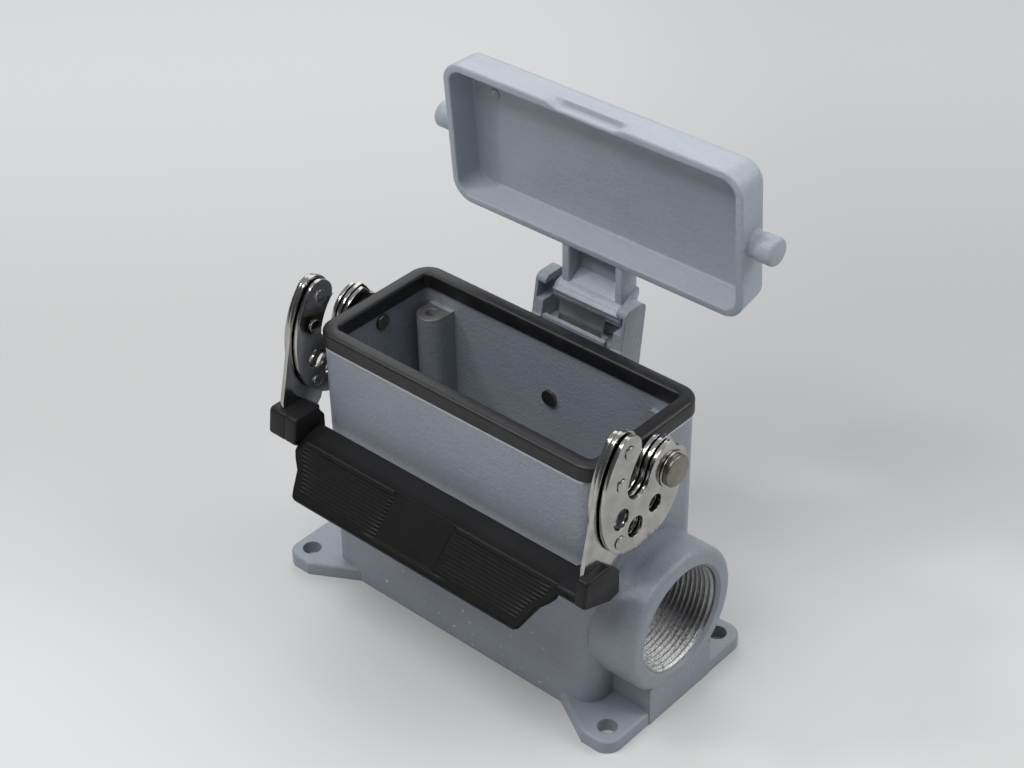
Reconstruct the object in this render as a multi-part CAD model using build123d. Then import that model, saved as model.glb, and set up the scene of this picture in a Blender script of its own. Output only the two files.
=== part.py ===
# Heavy duty rectangular connector: surface mounting housing with a threaded side entry, a hinged
# cover and one locking lever that swings along the long side.
# X runs along the length towards the entry, Y towards the hinge and Z up. The origin is the middle
# of the mounting face. The cover stands open and the lever hangs down.
from math import cos, radians, sin
import os

from build123d import *

os.makedirs("parts", exist_ok=True)

# Housing body
body_length = 95.0
body_width = 42.4
body_corner = 5.5
wall = 3.2
cavity_corner = 2.6
floor_thickness = 3.5

# Mounting flange: overhangs are measured out from the body's walls
flange_overhang_x = 12.3
flange_overhang_y = 7.7
flange_thickness = 4.0
flange_corner = 4.5
flange_edge_round = 0.8
ear_length = 9.3
ear_run = 13.5
hole_overhang_x = 7.0
hole_overhang_y = 2.1
mounting_hole_radius = 2.65

# Threaded entry boss
entry_reach = 12.5
entry_height = 27.5
entry_radius = 20.5
mouth_rise = 31.6
entry_edge_round = 1.8
entry_bore_radius = 15.2
entry_bore_length = 17.0
entry_chamfer = 0.9
entry_overlap = 2.0
foot_web_width = 25.4
foot_web_height = 12.0

# Pillars that take the insert's screws
pillar_inset_x = 8.75
pillar_inset_y = 7.7
pillar_radius = 4.2
pillar_drop = 6.8
screw_hole_radius = 1.65
screw_hole_depth = 14.0

# Gasket
gasket_rise = 2.3
gasket_lap = 2.3
gasket_outer_lip = 0.55
gasket_inner_lip = 0.7
gasket_edge_round = 0.7

# Pivot pegs
pivot_drop = 5.3
pad_radius = 5.2
pad_height = 0.65
shank_radius = 1.9
collar_radius = 4.6
collar_length = 1.55
journal_radius = 3.0
journal_clearance = 0.05
washer_radius = 5.0
washer_play = 0.1
washer_thickness = 0.45
head_radius = 4.4
head_thickness = 1.5
head_round = 0.4
tail_radius = 2.3
tail_thickness = 0.9
tail_round = 0.6

# Hinged cover, given as it lies closed
cover_lap_x = 1.5
cover_lap_y = 0.4
cover_seat_gap = 0.1
cover_depth = 10.8
cover_corner = 6.5
cover_wall = 2.3
cover_floor = 2.4
cover_inner_corner = 4.6
cover_draft = 5.0
cover_edge_round = 2.2
cover_travel = 85.5
peg_radius = 3.9
peg_length = 6.8
peg_height = 5.5
peg_chamfer = 0.6
rim_notch_length = 21.0
rim_notch_height = 3.4
rim_notch_depth = 0.8

# Hinge: positions are measured from the hinge's axis
hinge_reach = 14.2
hinge_pin_radius = 1.6
hinge_pin_clearance = 0.05
hinge_pin_inset = 1.2
barrel_radius = 3.6
barrel_play = 0.4
leg_inset = 1.3
leg_thickness = 2.6
leg_front_out = 0.9
leg_back_out = 5.4
leg_lap = 1.4
leg_root_drop = 2.4
web_thickness = 1.5
shelf_front_out = 3.2
shelf_front_rise = 1.7
shelf_back_rise = 6.6
shelf_thickness = 2.2

# Hinge bracket: positions are measured from the hinge's axis
bracket_half_width = 15.5
cheek_thickness = 3.4
bracket_plate_thickness = 3.0
bracket_bottom_drop = 30.0
bracket_plate_drop = 7.4
cheek_shoulder_out = 7.2
cheek_shoulder_drop = 6.2
cheek_front_out = 5.2
cheek_top_rise = 5.0
cheek_back_out = 3.1
cheek_top_round = 2.0
cheek_foot_out = 0.2
cheek_foot_drop = 16.0
pocket_height = 4.8
pocket_depth = 3.0
pocket_width = 2.4
pocket_drop = 1.8
bracket_floor_drop = 10.4
bracket_floor_thickness = 2.6
bracket_lip_height = 3.2
bracket_lip_thickness = 1.4
bracket_lip_inset = 4.9
bracket_rivet_rise = 8.0
bracket_rivet_radius = 1.9
bracket_rivet_head_radius = 3.4
bracket_rivet_head_thickness = 1.0
bracket_rivet_tail_radius = 2.3

# Leaf spring that holds the cover up, measured from the hinge's axis
leaf_half_width = 7.5
leaf_thickness = 0.6
leaf_foot_out = 1.0
leaf_heel_out = 6.2
leaf_knee_out = 5.2
leaf_knee_drop = 2.8
leaf_tip_out = 4.6
leaf_tip_rise = 0.2

# Locking lever's cam plates: positions are measured from the pivot
disc_offset_y = -11.0
disc_offset_z = -2.3
disc_radius = 15.3
eye_radius = 6.2
slot_clearance = 0.3
slot_end_angle = 166.5
slot_mouth_angle = 60.0
horn_radius = 26.4
horn_tip_angle = 139.0
horn_root_angle = 195.0
plate_play = 0.2
inner_disc_thickness = 1.2
arm_thickness = 1.25
plate_gap = 0.55
outer_disc_thickness = 1.2
arm_plate_margin = 0.9
window_radius = 2.9
front_window_y = -19.3
front_window_z = -4.2
middle_window_y = -13.8
middle_window_z = -9.7
back_window_radius = 2.4
back_window_y = -6.2
back_window_z = -7.0
rivet_radius = 1.2
rivet_head_radius = 1.8
rivet_head_thickness = 0.4
rivet_shoulder_radius = 1.7
lower_rivet_y = -19.7
lower_rivet_z = -11.0
root_rivet_y = -19.3
root_rivet_z = 6.2

# Lever arm: how far each corner stands out from the long wall's face and hangs below the pivot
arm_top_out = 5.4
arm_top_rise = 5.6
arm_foot_out = 9.9
arm_foot_drop = 13.3
arm_end_front_out = 10.4
arm_end_front_drop = 21.0
arm_end_back_out = 1.6
arm_end_back_drop = 24.2
arm_inside = 3.6
arm_inside_drop = 19.0

# Lever grip: its section's corners, given like the arm's
grip_inset = 1.5
grip_top_back_out = 2.2
grip_top_back_drop = 20.6
grip_ridge_out = 10.0
grip_ridge_drop = 22.1
grip_lip_out = 20.6
grip_lip_drop = 33.3
grip_lip_bottom_out = 18.9
grip_lip_bottom_drop = 35.4
grip_under_out = 6.8
grip_under_drop = 27.5
grip_back_drop = 24.7
grip_shoulder_drop = 26.0
flare_waist_drop = 27.9
flare_start_inset = 3.7
flare_tip_inset = 5.8
flare_corner = 4.0
block_inner_inset = 2.3
block_cheek = 2.5
block_front_top_out = 11.8
block_front_top_drop = 15.2
block_front_bottom_out = 12.9
block_front_bottom_drop = 23.2
block_under_out = 2.9
block_under_drop = 26.8
block_back_out = 1.1
block_back_lap = 2.0
block_back_top_drop = 18.9
block_top_back_out = 3.4
block_round = 1.4

# Where the pieces lie, from the lengths above
body_height = entry_height + entry_radius + mouth_rise
end_x = body_length / 2
wall_y = body_width / 2
flange_half_length = end_x + flange_overhang_x
flange_half_width = wall_y + flange_overhang_y
ear_shoulder = flange_half_length - ear_length
ear_start = ear_shoulder - ear_run
hole_x = end_x + hole_overhang_x
hole_y = wall_y + hole_overhang_y
entry_face_x = end_x + entry_reach
entry_bore_end_x = entry_face_x - entry_bore_length
pillar_x = end_x - pillar_inset_x
pillar_y = wall_y - pillar_inset_y
pillar_height = body_height - pillar_drop
gasket_top = body_height + gasket_rise
gasket_bottom = body_height - gasket_lap
pivot_z = body_height - pivot_drop

pad_x = end_x + pad_height
collar_end_x = pad_x + collar_length
inner_disc_x = collar_end_x + plate_play
inner_disc_end_x = inner_disc_x + inner_disc_thickness
arm_plate_x = inner_disc_end_x + plate_gap
arm_plate_end_x = arm_plate_x + arm_thickness
outer_disc_x = arm_plate_end_x + plate_gap
outer_disc_end_x = outer_disc_x + outer_disc_thickness
washer_start_x = outer_disc_end_x + washer_play
washer_end_x = washer_start_x + washer_thickness
head_end_x = washer_end_x + head_thickness

cover_length = body_length + 2 * cover_lap_x
cover_width = body_width + 2 * cover_lap_y
cover_face_z = gasket_top + cover_seat_gap
peg_end_x = cover_length / 2 + peg_length
slot_radius = cover_face_z + peg_height - pivot_z
hinge_y = cover_width / 2 + hinge_reach
hinge_z = cover_face_z
hinge_pin_half_length = bracket_half_width - hinge_pin_inset
barrel_half_length = bracket_half_width - cheek_thickness - barrel_play
leg_outer_x = barrel_half_length - leg_inset
bracket_bottom_z = hinge_z - bracket_bottom_drop
bracket_plate_top_z = hinge_z - bracket_plate_drop
bracket_floor_z = hinge_z - bracket_floor_drop
bracket_floor_top_z = bracket_floor_z + bracket_floor_thickness
bracket_rivet_z = bracket_bottom_z + bracket_rivet_rise
cheek_shoulder_y = hinge_y - cheek_shoulder_out

grip_half_length = end_x - grip_inset
flare_half_length = grip_half_length - flare_start_inset
flare_tip_half_length = grip_half_length - flare_tip_inset
block_inner_x = end_x - block_inner_inset
block_outer_x = arm_plate_end_x + block_cheek
socket_inner_x = arm_plate_x - block_cheek

hinge_axis = Axis((0, hinge_y, hinge_z), (1, 0, 0))


def write(node, shape):
    """Write one node's solid to its own file."""
    export_step(shape, f"parts/{node}.step")


def across(sketch, start_x, end_x):
    """Extrude a sketch drawn in (Y, Z) from one X to another."""
    return extrude(Plane.YZ.offset(start_x) * sketch, amount=end_x - start_x)


def outline(*points):
    """Closed straight-sided sketch through the points."""
    return make_face(Polyline(*points, close=True))


def rod(radius, start_x, end_x, y, z):
    """Round bar along X."""
    return across(Pos(y, z) * Circle(radius), start_x, end_x)


def rounded_bar(length, width, corner, start_z, end_z):
    """Upright block with rounded corners."""
    face = Plane.XY.offset(start_z) * RectangleRounded(length, width, corner)
    return extrude(face, amount=end_z - start_z)


def left_of(shape):
    """The same piece on the left end."""
    return mirror(shape, about=Plane.YZ)


def flange():
    """Foot plate with a screw ear at each corner."""
    ear = [
        (ear_start, wall_y),
        (ear_shoulder, flange_half_width),
        (flange_half_length, flange_half_width),
        (flange_half_length, -flange_half_width),
        (ear_shoulder, -flange_half_width),
        (ear_start, -wall_y),
    ]
    mirrored = [(-x, -y) for x, y in ear]
    plate = outline(*ear, *mirrored)
    tips = plate.vertices().filter_by(lambda v: abs(v.X) > ear_shoulder + flange_corner / 2)
    plate = extrude(fillet(tips, flange_corner), amount=flange_thickness)
    top_edges = plate.faces().sort_by(Axis.Z)[-1].edges()
    return fillet(top_edges, flange_edge_round)


def entry_boss():
    """Round boss at the right end with the web that stands it on the foot plate."""
    start = end_x - entry_overlap
    boss = rod(entry_radius, start, entry_face_x, 0, entry_height)
    boss = fillet(boss.edges().group_by(Axis.X)[-1], entry_edge_round)
    web = Pos(0, 0, foot_web_height / 2) * Box(entry_face_x - start, foot_web_width, foot_web_height)
    return boss + Pos((entry_face_x + start) / 2, 0, 0) * web


def entry_bore():
    """Core of the entry thread with its lead-in."""
    bore = rod(entry_bore_radius, entry_bore_end_x, entry_face_x, 0, entry_height)
    wide = entry_bore_radius + entry_chamfer
    lead = Cone(entry_bore_radius, wide, entry_chamfer, rotation=(0, 90, 0))
    return bore + Pos(entry_face_x - entry_chamfer / 2, 0, entry_height) * lead


def pillars():
    """Four columns beside the long walls, each with a blind screw hole."""
    columns = []
    holes = []
    reach = wall_y - wall / 2 - pillar_y
    for x in (-pillar_x, pillar_x):
        for side in (-1, 1):
            y = side * pillar_y
            column = Pos(x, y, pillar_height / 2) * Cylinder(pillar_radius, pillar_height)
            rib = Box(2 * pillar_radius, reach, pillar_height)
            column += Pos(x, y + side * reach / 2, pillar_height / 2) * rib
            columns.append(column)
            hole = Cylinder(screw_hole_radius, screw_hole_depth)
            holes.append(Pos(x, y, pillar_height - screw_hole_depth / 2) * hole)
    return columns, holes


def housing():
    """Die-cast body: walls, foot plate, entry, pillars and the peg pads."""
    body = rounded_bar(body_length, body_width, body_corner, 0, body_height)
    cavity_length = body_length - 2 * wall
    cavity_width = body_width - 2 * wall
    cavity = rounded_bar(cavity_length, cavity_width, cavity_corner, floor_thickness, body_height)
    columns, holes = pillars()
    pad = rod(pad_radius, end_x - wall / 2, end_x + pad_height, 0, pivot_z)
    under_gasket = Pos(0, 0, gasket_bottom / 2) * Box(2 * entry_face_x, body_width, gasket_bottom)
    pad = pad & under_gasket
    solid = body + flange() + entry_boss() - cavity
    for column in columns:
        solid += column
    solid = solid + pad + left_of(pad) - entry_bore()
    for hole in holes:
        solid -= hole
    solid -= rod(shank_radius, -flange_half_length, flange_half_length, 0, pivot_z)
    rivet_way = Plane.XZ.offset(-body_width) * Pos(0, bracket_rivet_z) * Circle(bracket_rivet_radius)
    solid -= extrude(rivet_way, amount=body_width)
    for x in (-hole_x, hole_x):
        for y in (-hole_y, hole_y):
            solid -= Pos(x, y, flange_thickness / 2) * Cylinder(mounting_hole_radius, flange_thickness)
    return solid


def gasket():
    """Moulded ring whose channel fits over the housing's wall."""
    length = body_length + 2 * gasket_outer_lip
    width = body_width + 2 * gasket_outer_lip
    ring = rounded_bar(length, width, body_corner + gasket_outer_lip, gasket_bottom, gasket_top)
    ring = fillet(ring.edges().group_by(Axis.Z)[-1], gasket_edge_round)
    inside = wall + gasket_inner_lip
    opening = rounded_bar(
        body_length - 2 * inside, body_width - 2 * inside, cavity_corner, gasket_bottom, gasket_top
    )
    outer = rounded_bar(body_length, body_width, body_corner, gasket_bottom, body_height)
    inner = rounded_bar(
        body_length - 2 * wall, body_width - 2 * wall, cavity_corner, gasket_bottom, body_height
    )
    return ring - opening - (outer - inner)


def pivot_peg():
    """Shouldered steel peg riveted through the end wall, with its head outside the lever."""
    inner_x = end_x - wall
    head = rod(head_radius, washer_end_x, head_end_x, 0, pivot_z)
    head = fillet(head.edges().group_by(Axis.X)[-1], head_round)
    tail = rod(tail_radius, inner_x - tail_thickness, inner_x, 0, pivot_z)
    tail = fillet(tail.edges().group_by(Axis.X)[0], tail_round)
    shank = rod(shank_radius, inner_x, pad_x, 0, pivot_z)
    collar = rod(collar_radius, pad_x, collar_end_x, 0, pivot_z)
    journal = rod(journal_radius, collar_end_x, washer_end_x, 0, pivot_z)
    return head + tail + shank + collar + journal


def peg_washer():
    """Flat washer under the peg's head."""
    ring = Circle(washer_radius) - Circle(journal_radius)
    return across(Pos(0, pivot_z) * ring, washer_start_x, washer_end_x)


def cover_tray():
    """Shallow cast tray with its two side pegs, as it lies closed on the gasket."""
    tray = extrude(
        Plane.XY.offset(cover_face_z) * RectangleRounded(cover_length, cover_width, cover_corner),
        amount=cover_depth,
        taper=cover_draft,
    )
    tray = fillet(tray.edges().group_by(Axis.Z)[-1], cover_edge_round)
    inner_length = cover_length - 2 * cover_wall
    inner_width = cover_width - 2 * cover_wall
    hollow = extrude(
        Plane.XY.offset(cover_face_z) * RectangleRounded(inner_length, inner_width, cover_inner_corner),
        amount=cover_depth - cover_floor,
        taper=cover_draft,
    )
    peg = rod(peg_radius, cover_length / 2 - cover_wall, peg_end_x, 0, cover_face_z + peg_height)
    peg = chamfer(peg.edges().group_by(Axis.X)[-1], peg_chamfer)
    notch = Box(rim_notch_length, 2 * rim_notch_depth, rim_notch_height)
    notch_z = cover_face_z + rim_notch_height / 2
    return tray + peg + left_of(peg) - hollow - Pos(0, -cover_width / 2, notch_z) * notch


def cover():
    """Cover standing open. Two legs, the web behind them and the barrel hang it on the hinge pin."""
    tray = cover_tray().rotate(hinge_axis, -cover_travel)
    front_y = hinge_y - leg_front_out
    back_y = hinge_y + leg_back_out
    top_z = hinge_z + hinge_reach + leg_lap
    root_z = hinge_z - leg_root_drop
    front_z = hinge_z + shelf_front_rise
    back_z = hinge_z + shelf_back_rise
    side = outline(
        (front_y, top_z), (back_y, top_z), (back_y, back_z),
        (hinge_y + barrel_radius, hinge_z), (hinge_y, root_z), (front_y, front_z),
    )
    leg = across(side, leg_outer_x - leg_thickness, leg_outer_x)
    web_y = back_y - web_thickness
    web = outline(
        (web_y, top_z), (back_y, top_z), (back_y, back_z - shelf_thickness), (web_y, back_z - shelf_thickness),
    )
    web = across(web, -leg_outer_x, leg_outer_x)
    shelf_y = hinge_y - shelf_front_out
    shelf = outline(
        (shelf_y, front_z), (back_y, back_z), (back_y, back_z - shelf_thickness),
        (hinge_y + barrel_radius, hinge_z), (hinge_y, root_z), (shelf_y, hinge_z),
    )
    shelf = across(shelf, -leg_outer_x, leg_outer_x)
    barrel = rod(barrel_radius, -barrel_half_length, barrel_half_length, hinge_y, hinge_z)
    hole = rod(
        hinge_pin_radius + hinge_pin_clearance, -bracket_half_width, bracket_half_width, hinge_y, hinge_z
    )
    return tray + leg + left_of(leg) + web + shelf + barrel - hole


def cheek():
    """Right cheek of the bracket, with a pocket in its front edge that opens to the inside."""
    front_y = hinge_y - cheek_front_out
    top_z = hinge_z + cheek_top_rise
    side = outline(
        (wall_y, bracket_bottom_z), (wall_y, bracket_plate_top_z),
        (cheek_shoulder_y, hinge_z - cheek_shoulder_drop), (front_y, top_z),
        (hinge_y + cheek_back_out, top_z), (hinge_y + cheek_foot_out, hinge_z - cheek_foot_drop),
        (wall_y + bracket_plate_thickness, bracket_bottom_z),
    )
    tops = side.vertices().filter_by(lambda v: v.Y > top_z - cheek_top_round)
    side = fillet(tops, cheek_top_round)
    plate = across(side, bracket_half_width - cheek_thickness, bracket_half_width)
    pocket = Box(pocket_width, 2 * pocket_depth, pocket_height)
    pocket_x = bracket_half_width - cheek_thickness + pocket_width / 2
    pocket_z = hinge_z - pocket_drop + pocket_height / 2
    return plate - Pos(pocket_x, front_y, pocket_z) * pocket


def hinge_bracket():
    """Cast bracket riveted to the back wall, with a cheek on each side of the cover's barrel."""
    plate_height = bracket_plate_top_z - bracket_bottom_z
    plate = Box(2 * bracket_half_width, bracket_plate_thickness, plate_height)
    plate_z = bracket_bottom_z + plate_height / 2
    plate = Pos(0, wall_y + bracket_plate_thickness / 2, plate_z) * plate
    inner = bracket_half_width - cheek_thickness / 2
    floor_back_y = hinge_y + cheek_foot_out
    floor = outline(
        (wall_y, bracket_floor_z), (floor_back_y, bracket_floor_z),
        (floor_back_y, bracket_floor_top_z), (wall_y, bracket_floor_top_z),
    )
    lip_top = bracket_floor_top_z + bracket_lip_height
    lip_half_length = bracket_half_width - bracket_lip_inset
    lip = outline(
        (cheek_shoulder_y - bracket_lip_thickness, bracket_floor_z), (cheek_shoulder_y, bracket_floor_z),
        (cheek_shoulder_y, lip_top), (cheek_shoulder_y - bracket_lip_thickness, lip_top),
    )
    solid = plate + cheek() + left_of(cheek()) + across(floor, -inner, inner)
    solid += across(lip, -lip_half_length, lip_half_length)
    solid -= rod(hinge_pin_radius, -hinge_pin_half_length, hinge_pin_half_length, hinge_y, hinge_z)
    way = Plane.XZ.offset(-body_width) * Pos(0, bracket_rivet_z) * Circle(bracket_rivet_radius)
    return solid - extrude(way, amount=body_width)


def bracket_rivet():
    """Rivet through the back wall, with a head on the bracket and one inside."""
    inner_y = wall_y - wall
    outer_y = wall_y + bracket_plate_thickness
    shank = Plane.XZ.offset(-outer_y) * Pos(0, bracket_rivet_z) * Circle(bracket_rivet_radius)
    solid = extrude(shank, amount=outer_y - inner_y)
    outer_face_y = outer_y + bracket_rivet_head_thickness
    for y, radius in ((inner_y, bracket_rivet_tail_radius), (outer_face_y, bracket_rivet_head_radius)):
        head = Plane.XZ.offset(-y) * Pos(0, bracket_rivet_z) * Circle(radius)
        solid += extrude(head, amount=bracket_rivet_head_thickness)
    return solid


def hinge_pin():
    """Plain pin held in blind holes in both cheeks."""
    return rod(hinge_pin_radius, -hinge_pin_half_length, hinge_pin_half_length, hinge_y, hinge_z)


def hinge_leaf():
    """Bent spring leaf that stands on the bracket's floor in front of the barrel."""
    floor_z = bracket_floor_top_z
    foot_y = hinge_y + leaf_foot_out
    heel_y = hinge_y - leaf_heel_out
    knee_y = hinge_y - leaf_knee_out
    knee_z = hinge_z - leaf_knee_drop
    tip_y = hinge_y - leaf_tip_out
    tip_z = hinge_z + leaf_tip_rise
    leaf = outline(
        (foot_y, floor_z), (heel_y, floor_z), (knee_y, knee_z), (tip_y, tip_z),
        (tip_y + leaf_thickness, tip_z), (knee_y + leaf_thickness, knee_z),
        (heel_y + leaf_thickness, floor_z + leaf_thickness), (foot_y, floor_z + leaf_thickness),
    )
    return across(leaf, -leaf_half_width, leaf_half_width)


def polar(radius, angle):
    """Position in the lever's plate from its distance and direction at the pivot."""
    return (radius * cos(radians(angle)), radius * sin(radians(angle)))


def ring_sector(inner, outer, start, end):
    """Part of a ring about the pivot."""
    outside = CenterArc((0, 0), outer, start, end - start)
    inside = CenterArc((0, 0), inner, start, end - start)
    return make_face([outside, Line(outside @ 1, inside @ 1), inside, Line(inside @ 0, outside @ 0)])


def capsule(start, end, radius):
    """Round-ended slot between two points."""
    middle = ((start[0] + end[0]) / 2, (start[1] + end[1]) / 2)
    run = (end[0] - start[0], end[1] - start[1])
    length = (run[0] ** 2 + run[1] ** 2) ** 0.5
    slot = SlotCenterToCenter(length, 2 * radius)
    return Pos(*middle) * Rot(0, 0, Vector(1, 0).get_signed_angle(Vector(*run))) * slot


def cam_slot(margin):
    """Slot that takes the cover's peg: open at the top, with a round end about the locked position."""
    half = peg_radius + slot_clearance + margin
    channel = ring_sector(slot_radius - half, slot_radius + half, slot_mouth_angle, slot_end_angle)
    return channel + Pos(*polar(slot_radius, slot_end_angle)) * Circle(half)


def rivet_places():
    """The three rivets of a side: in the horn's head, at the horn's root and low at the front."""
    inner = slot_radius + peg_radius + slot_clearance
    head = polar((inner + horn_radius) / 2, horn_tip_angle)
    return [head, (root_rivet_y, root_rivet_z), (lower_rivet_y, lower_rivet_z)]


def hook(margin):
    """Outline of a cam disc with its eye and horn, drawn about the pivot and grown by a margin."""
    inner = slot_radius + peg_radius + slot_clearance
    outer = horn_radius + margin
    face = Circle(eye_radius) + Pos(disc_offset_y, disc_offset_z) * Circle(disc_radius + margin)
    face += ring_sector(inner, outer, horn_tip_angle, horn_root_angle)
    return face + Pos(*polar((inner + outer) / 2, horn_tip_angle)) * Circle((outer - inner) / 2)


def pierced(face):
    """The face with the peg's slot, the journal's hole, the windows and the rivets' holes."""
    face -= cam_slot(0)
    face -= Circle(journal_radius + journal_clearance)
    face -= Pos(front_window_y, front_window_z) * Circle(window_radius)
    face -= Pos(middle_window_y, middle_window_z) * Circle(window_radius)
    face -= Pos(back_window_y, back_window_z) * Circle(back_window_radius)
    for place in rivet_places():
        face -= Pos(*place) * Circle(rivet_radius)
    return face


def lever_arm_face():
    """Middle plate: the same hook with the arm that runs down into the grip. Its two front windows
    are one."""
    arm = outline(
        (-wall_y - arm_top_out, arm_top_rise), (-wall_y - arm_foot_out, -arm_foot_drop),
        (-wall_y - arm_end_front_out, -arm_end_front_drop),
        (-wall_y - arm_end_back_out, -arm_end_back_drop),
        (-wall_y + arm_inside, -arm_inside_drop), (disc_offset_y, disc_offset_z),
    )
    front = (front_window_y, front_window_z)
    middle = (middle_window_y, middle_window_z)
    return pierced(hook(arm_plate_margin) + arm) - capsule(front, middle, window_radius)


def lever_plate(face, start_x, end_x):
    """One stamped plate of the right-hand lever side."""
    return across(Pos(0, pivot_z) * face, start_x, end_x)


def lever_rivet(place):
    """Shouldered rivet that joins the three plates and keeps the discs off the arm."""
    y = place[0]
    z = pivot_z + place[1]
    solid = rod(rivet_radius, inner_disc_x, outer_disc_end_x, y, z)
    solid += rod(rivet_shoulder_radius, inner_disc_end_x, arm_plate_x, y, z)
    solid += rod(rivet_shoulder_radius, arm_plate_end_x, outer_disc_x, y, z)
    solid += rod(rivet_head_radius, inner_disc_x - rivet_head_thickness, inner_disc_x, y, z)
    return solid + rod(rivet_head_radius, outer_disc_end_x, outer_disc_end_x + rivet_head_thickness, y, z)


def hung(out, drop):
    """Corner of the grip's section, out from the long wall's face and below the pivot."""
    return (-wall_y - out, pivot_z - drop)


def grip_bar():
    """Moulded bar with the flared lip that the fingers pull."""
    section = outline(
        hung(grip_top_back_out, grip_top_back_drop), hung(grip_ridge_out, grip_ridge_drop),
        hung(grip_lip_out, grip_lip_drop), hung(grip_lip_bottom_out, grip_lip_bottom_drop),
        hung(grip_under_out, grip_under_drop), hung(grip_top_back_out, grip_back_drop),
    )
    bar = across(section, -grip_half_length, grip_half_length)
    top_z = pivot_z - grip_top_back_drop
    shoulder_z = pivot_z - grip_shoulder_drop
    waist_z = pivot_z - flare_waist_drop
    tip_z = pivot_z - grip_lip_bottom_drop
    flare = outline(
        (-grip_half_length, top_z), (grip_half_length, top_z), (grip_half_length, shoulder_z),
        (flare_half_length, waist_z), (flare_tip_half_length, tip_z), (-flare_tip_half_length, tip_z),
        (-flare_half_length, waist_z), (-grip_half_length, shoulder_z),
    )
    tips = flare.vertices().group_by(Axis.Y)[0]
    flare = fillet(tips, flare_corner)
    front = extrude(Plane.XZ * flare, amount=wall_y + grip_lip_out)
    return bar & front


def block_part(back_out, start_x, end_x):
    """Stretch of the socket whose back stands a given distance out from the long wall's face."""
    section = outline(
        hung(block_front_top_out, block_front_top_drop),
        hung(block_front_bottom_out, block_front_bottom_drop),
        hung(block_under_out, block_under_drop), hung(back_out, block_under_drop),
        hung(back_out, block_back_top_drop), hung(block_top_back_out, block_front_top_drop),
    )
    section = fillet(section.vertices(), block_round)
    return across(section, start_x, end_x)


def grip_block():
    """Socket at the right end that holds the lever's arm. Beyond the housing it reaches further back."""
    inner = block_part(block_back_out, block_inner_x, socket_inner_x)
    return inner + block_part(block_back_out - block_back_lap, socket_inner_x, block_outer_x)


def lever_grip(arm):
    """One moulded grip across both arms."""
    grip = grip_bar() + grip_block() + left_of(grip_block())
    return grip - arm - left_of(arm)


write("housing", housing())
write("gasket", gasket())
write("pivot_peg_right", pivot_peg())
write("pivot_peg_left", left_of(pivot_peg()))
write("peg_washer_right", peg_washer())
write("peg_washer_left", left_of(peg_washer()))
write("hinge_bracket", hinge_bracket())
write("bracket_rivet", bracket_rivet())
write("hinge_pin", hinge_pin())
write("hinge_leaf", hinge_leaf())
write("cover", cover())

inner_disc = lever_plate(pierced(hook(0)), inner_disc_x, inner_disc_end_x)
arm_plate = lever_plate(lever_arm_face(), arm_plate_x, arm_plate_end_x)
outer_disc = lever_plate(pierced(hook(0)), outer_disc_x, outer_disc_end_x)
for name, plate in (("inner_disc", inner_disc), ("arm", arm_plate), ("outer_disc", outer_disc)):
    write(f"lever_{name}_right", plate)
    write(f"lever_{name}_left", left_of(plate))
for number, place in enumerate(rivet_places(), start=1):
    rivet = lever_rivet(place)
    write(f"lever_rivet_{number}_right", rivet)
    write(f"lever_rivet_{number}_left", left_of(rivet))
write("lever_grip", lever_grip(arm_plate))
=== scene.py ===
from math import radians

import bmesh
import bpy
import numpy as np
from mathutils import Matrix, Vector


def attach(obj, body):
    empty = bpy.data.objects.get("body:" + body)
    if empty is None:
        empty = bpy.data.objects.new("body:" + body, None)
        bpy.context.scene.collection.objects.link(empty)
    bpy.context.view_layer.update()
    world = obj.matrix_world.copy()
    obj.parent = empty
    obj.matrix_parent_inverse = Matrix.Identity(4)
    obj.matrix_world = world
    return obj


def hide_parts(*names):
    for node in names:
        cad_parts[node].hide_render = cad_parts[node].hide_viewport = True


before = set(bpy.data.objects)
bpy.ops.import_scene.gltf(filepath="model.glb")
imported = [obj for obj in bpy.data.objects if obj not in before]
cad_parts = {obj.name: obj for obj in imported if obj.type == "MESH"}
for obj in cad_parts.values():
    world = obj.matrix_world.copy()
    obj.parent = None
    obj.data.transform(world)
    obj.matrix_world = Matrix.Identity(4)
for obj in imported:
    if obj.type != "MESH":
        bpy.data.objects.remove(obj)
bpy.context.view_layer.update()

# Camera: it stands in front and to the right, looking down at the open mouth of the housing,
# with a long lens. The frame is 1024 by 768.
camera_place = (0.2923, -0.3199, 0.3857)
camera_right = (0.7483, 0.6632, -0.0153)
camera_up = (-0.3780, 0.4453, 0.8119)
camera_back = (0.5450, -0.6020, 0.5840)
lens_length = 72.6
sensor_width = 36.0
nearest_seen = 0.01

camera = bpy.data.objects.new("camera", bpy.data.cameras.new("camera"))
turn = Matrix((camera_right, camera_up, camera_back)).transposed()
camera.matrix_world = Matrix.Translation(camera_place) @ turn.to_4x4()
camera.data.lens = lens_length
camera.data.sensor_width = sensor_width
camera.data.sensor_fit = "HORIZONTAL"
camera.data.clip_start = nearest_seen
bpy.context.scene.collection.objects.link(camera)
bpy.context.scene.camera = camera
bpy.context.scene.view_settings.view_transform = "Standard"


# Table top: seamless pale board whose colour carries painted light and shade: lighter in front, far
# behind and to the left, and greyer to the right and close behind the housing. Three wide soft
# lamps hang round it, with a small bright one, and the room is dark in front.
mm_per_metre = 1000
weld_distance = 1e-7


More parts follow.
